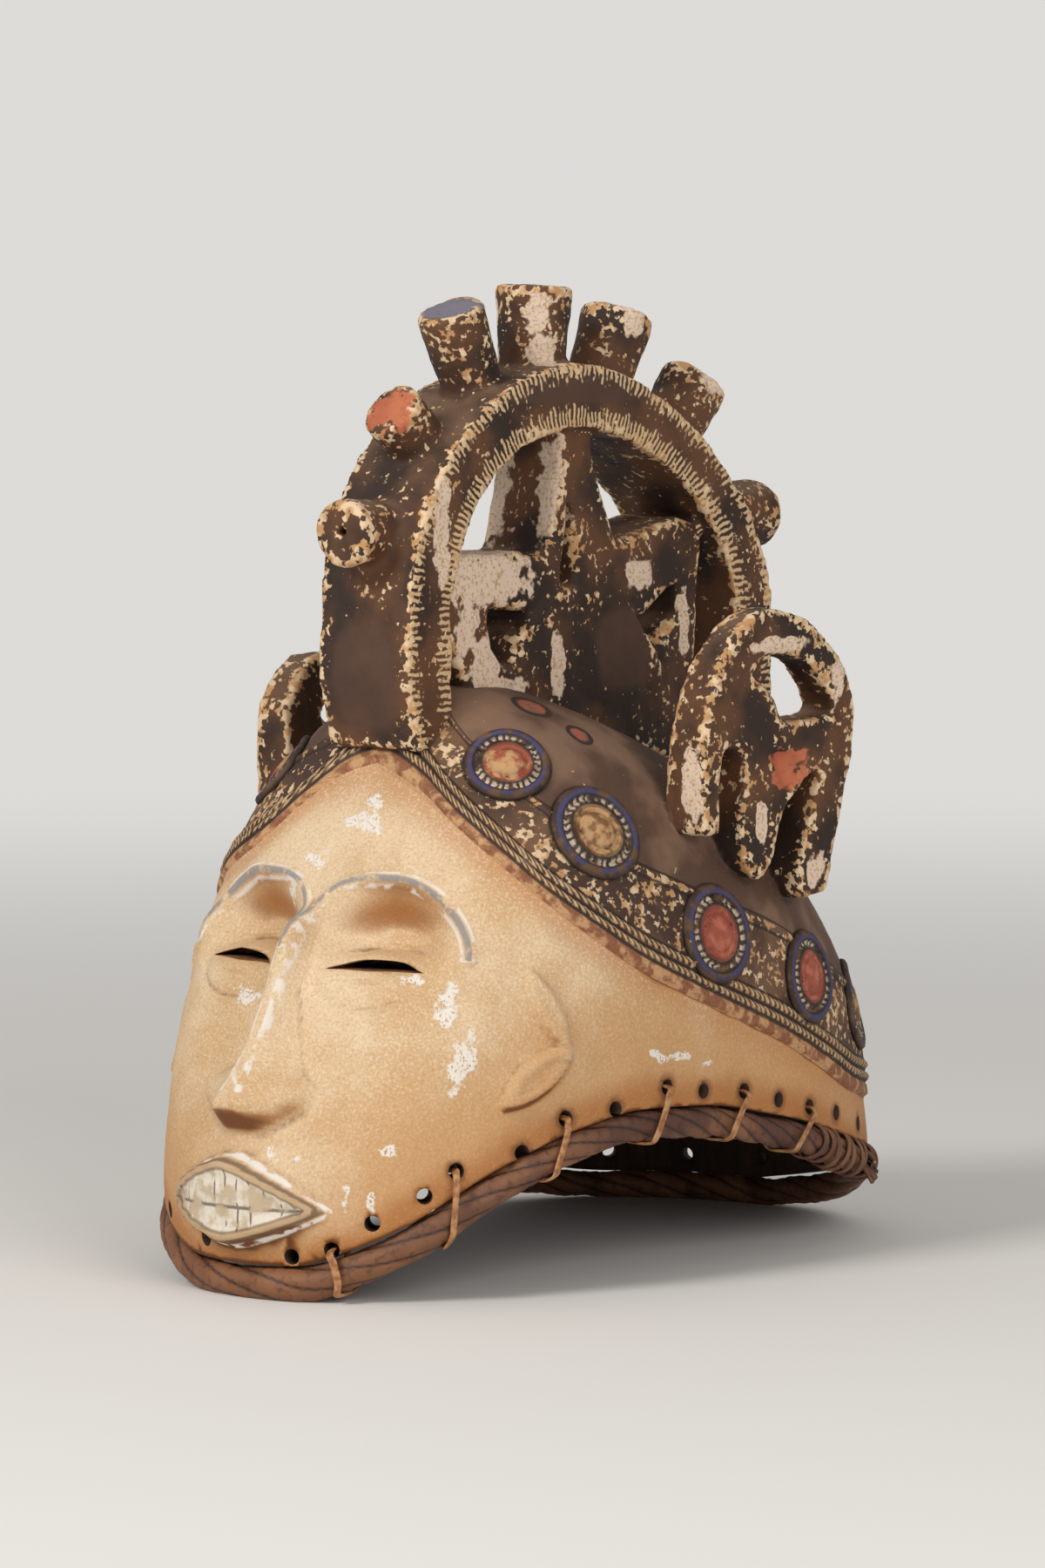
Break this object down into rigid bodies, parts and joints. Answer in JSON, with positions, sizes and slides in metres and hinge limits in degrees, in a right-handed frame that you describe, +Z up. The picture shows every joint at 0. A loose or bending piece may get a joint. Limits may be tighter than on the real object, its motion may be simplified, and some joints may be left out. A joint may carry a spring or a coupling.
{
  "type": "helmet mask",
  "caption": "Carved wooden helmet mask with a pale face, plaited cap, arched openwork crest with pegs and a side loop on each side, open underneath.",
  "frame": {"origin": "under the middle of the whole mask, on the level it stands on", "axes": "+Z up, the face looks toward -Y, the mask's own left side is +X"},
  "size_m": [0.2368, 0.3686, 0.411],
  "materials": {
    "carved_wood": "worn matt paint over dry carved wood",
    "fibre": "dry twisted plant fibre, dull",
    "cane": "split cane, slight sheen"
  },
  "bodies": {
    "root": {"carved_mask": "carved_wood", "rim_roll": "fibre", "lashing_1": "cane", "lashing_2": "cane", "lashing_3": "cane", "lashing_4": "cane", "lashing_5": "cane", "lashing_6": "cane", "rear_knot": "fibre"}
  },
  "joints": []
}
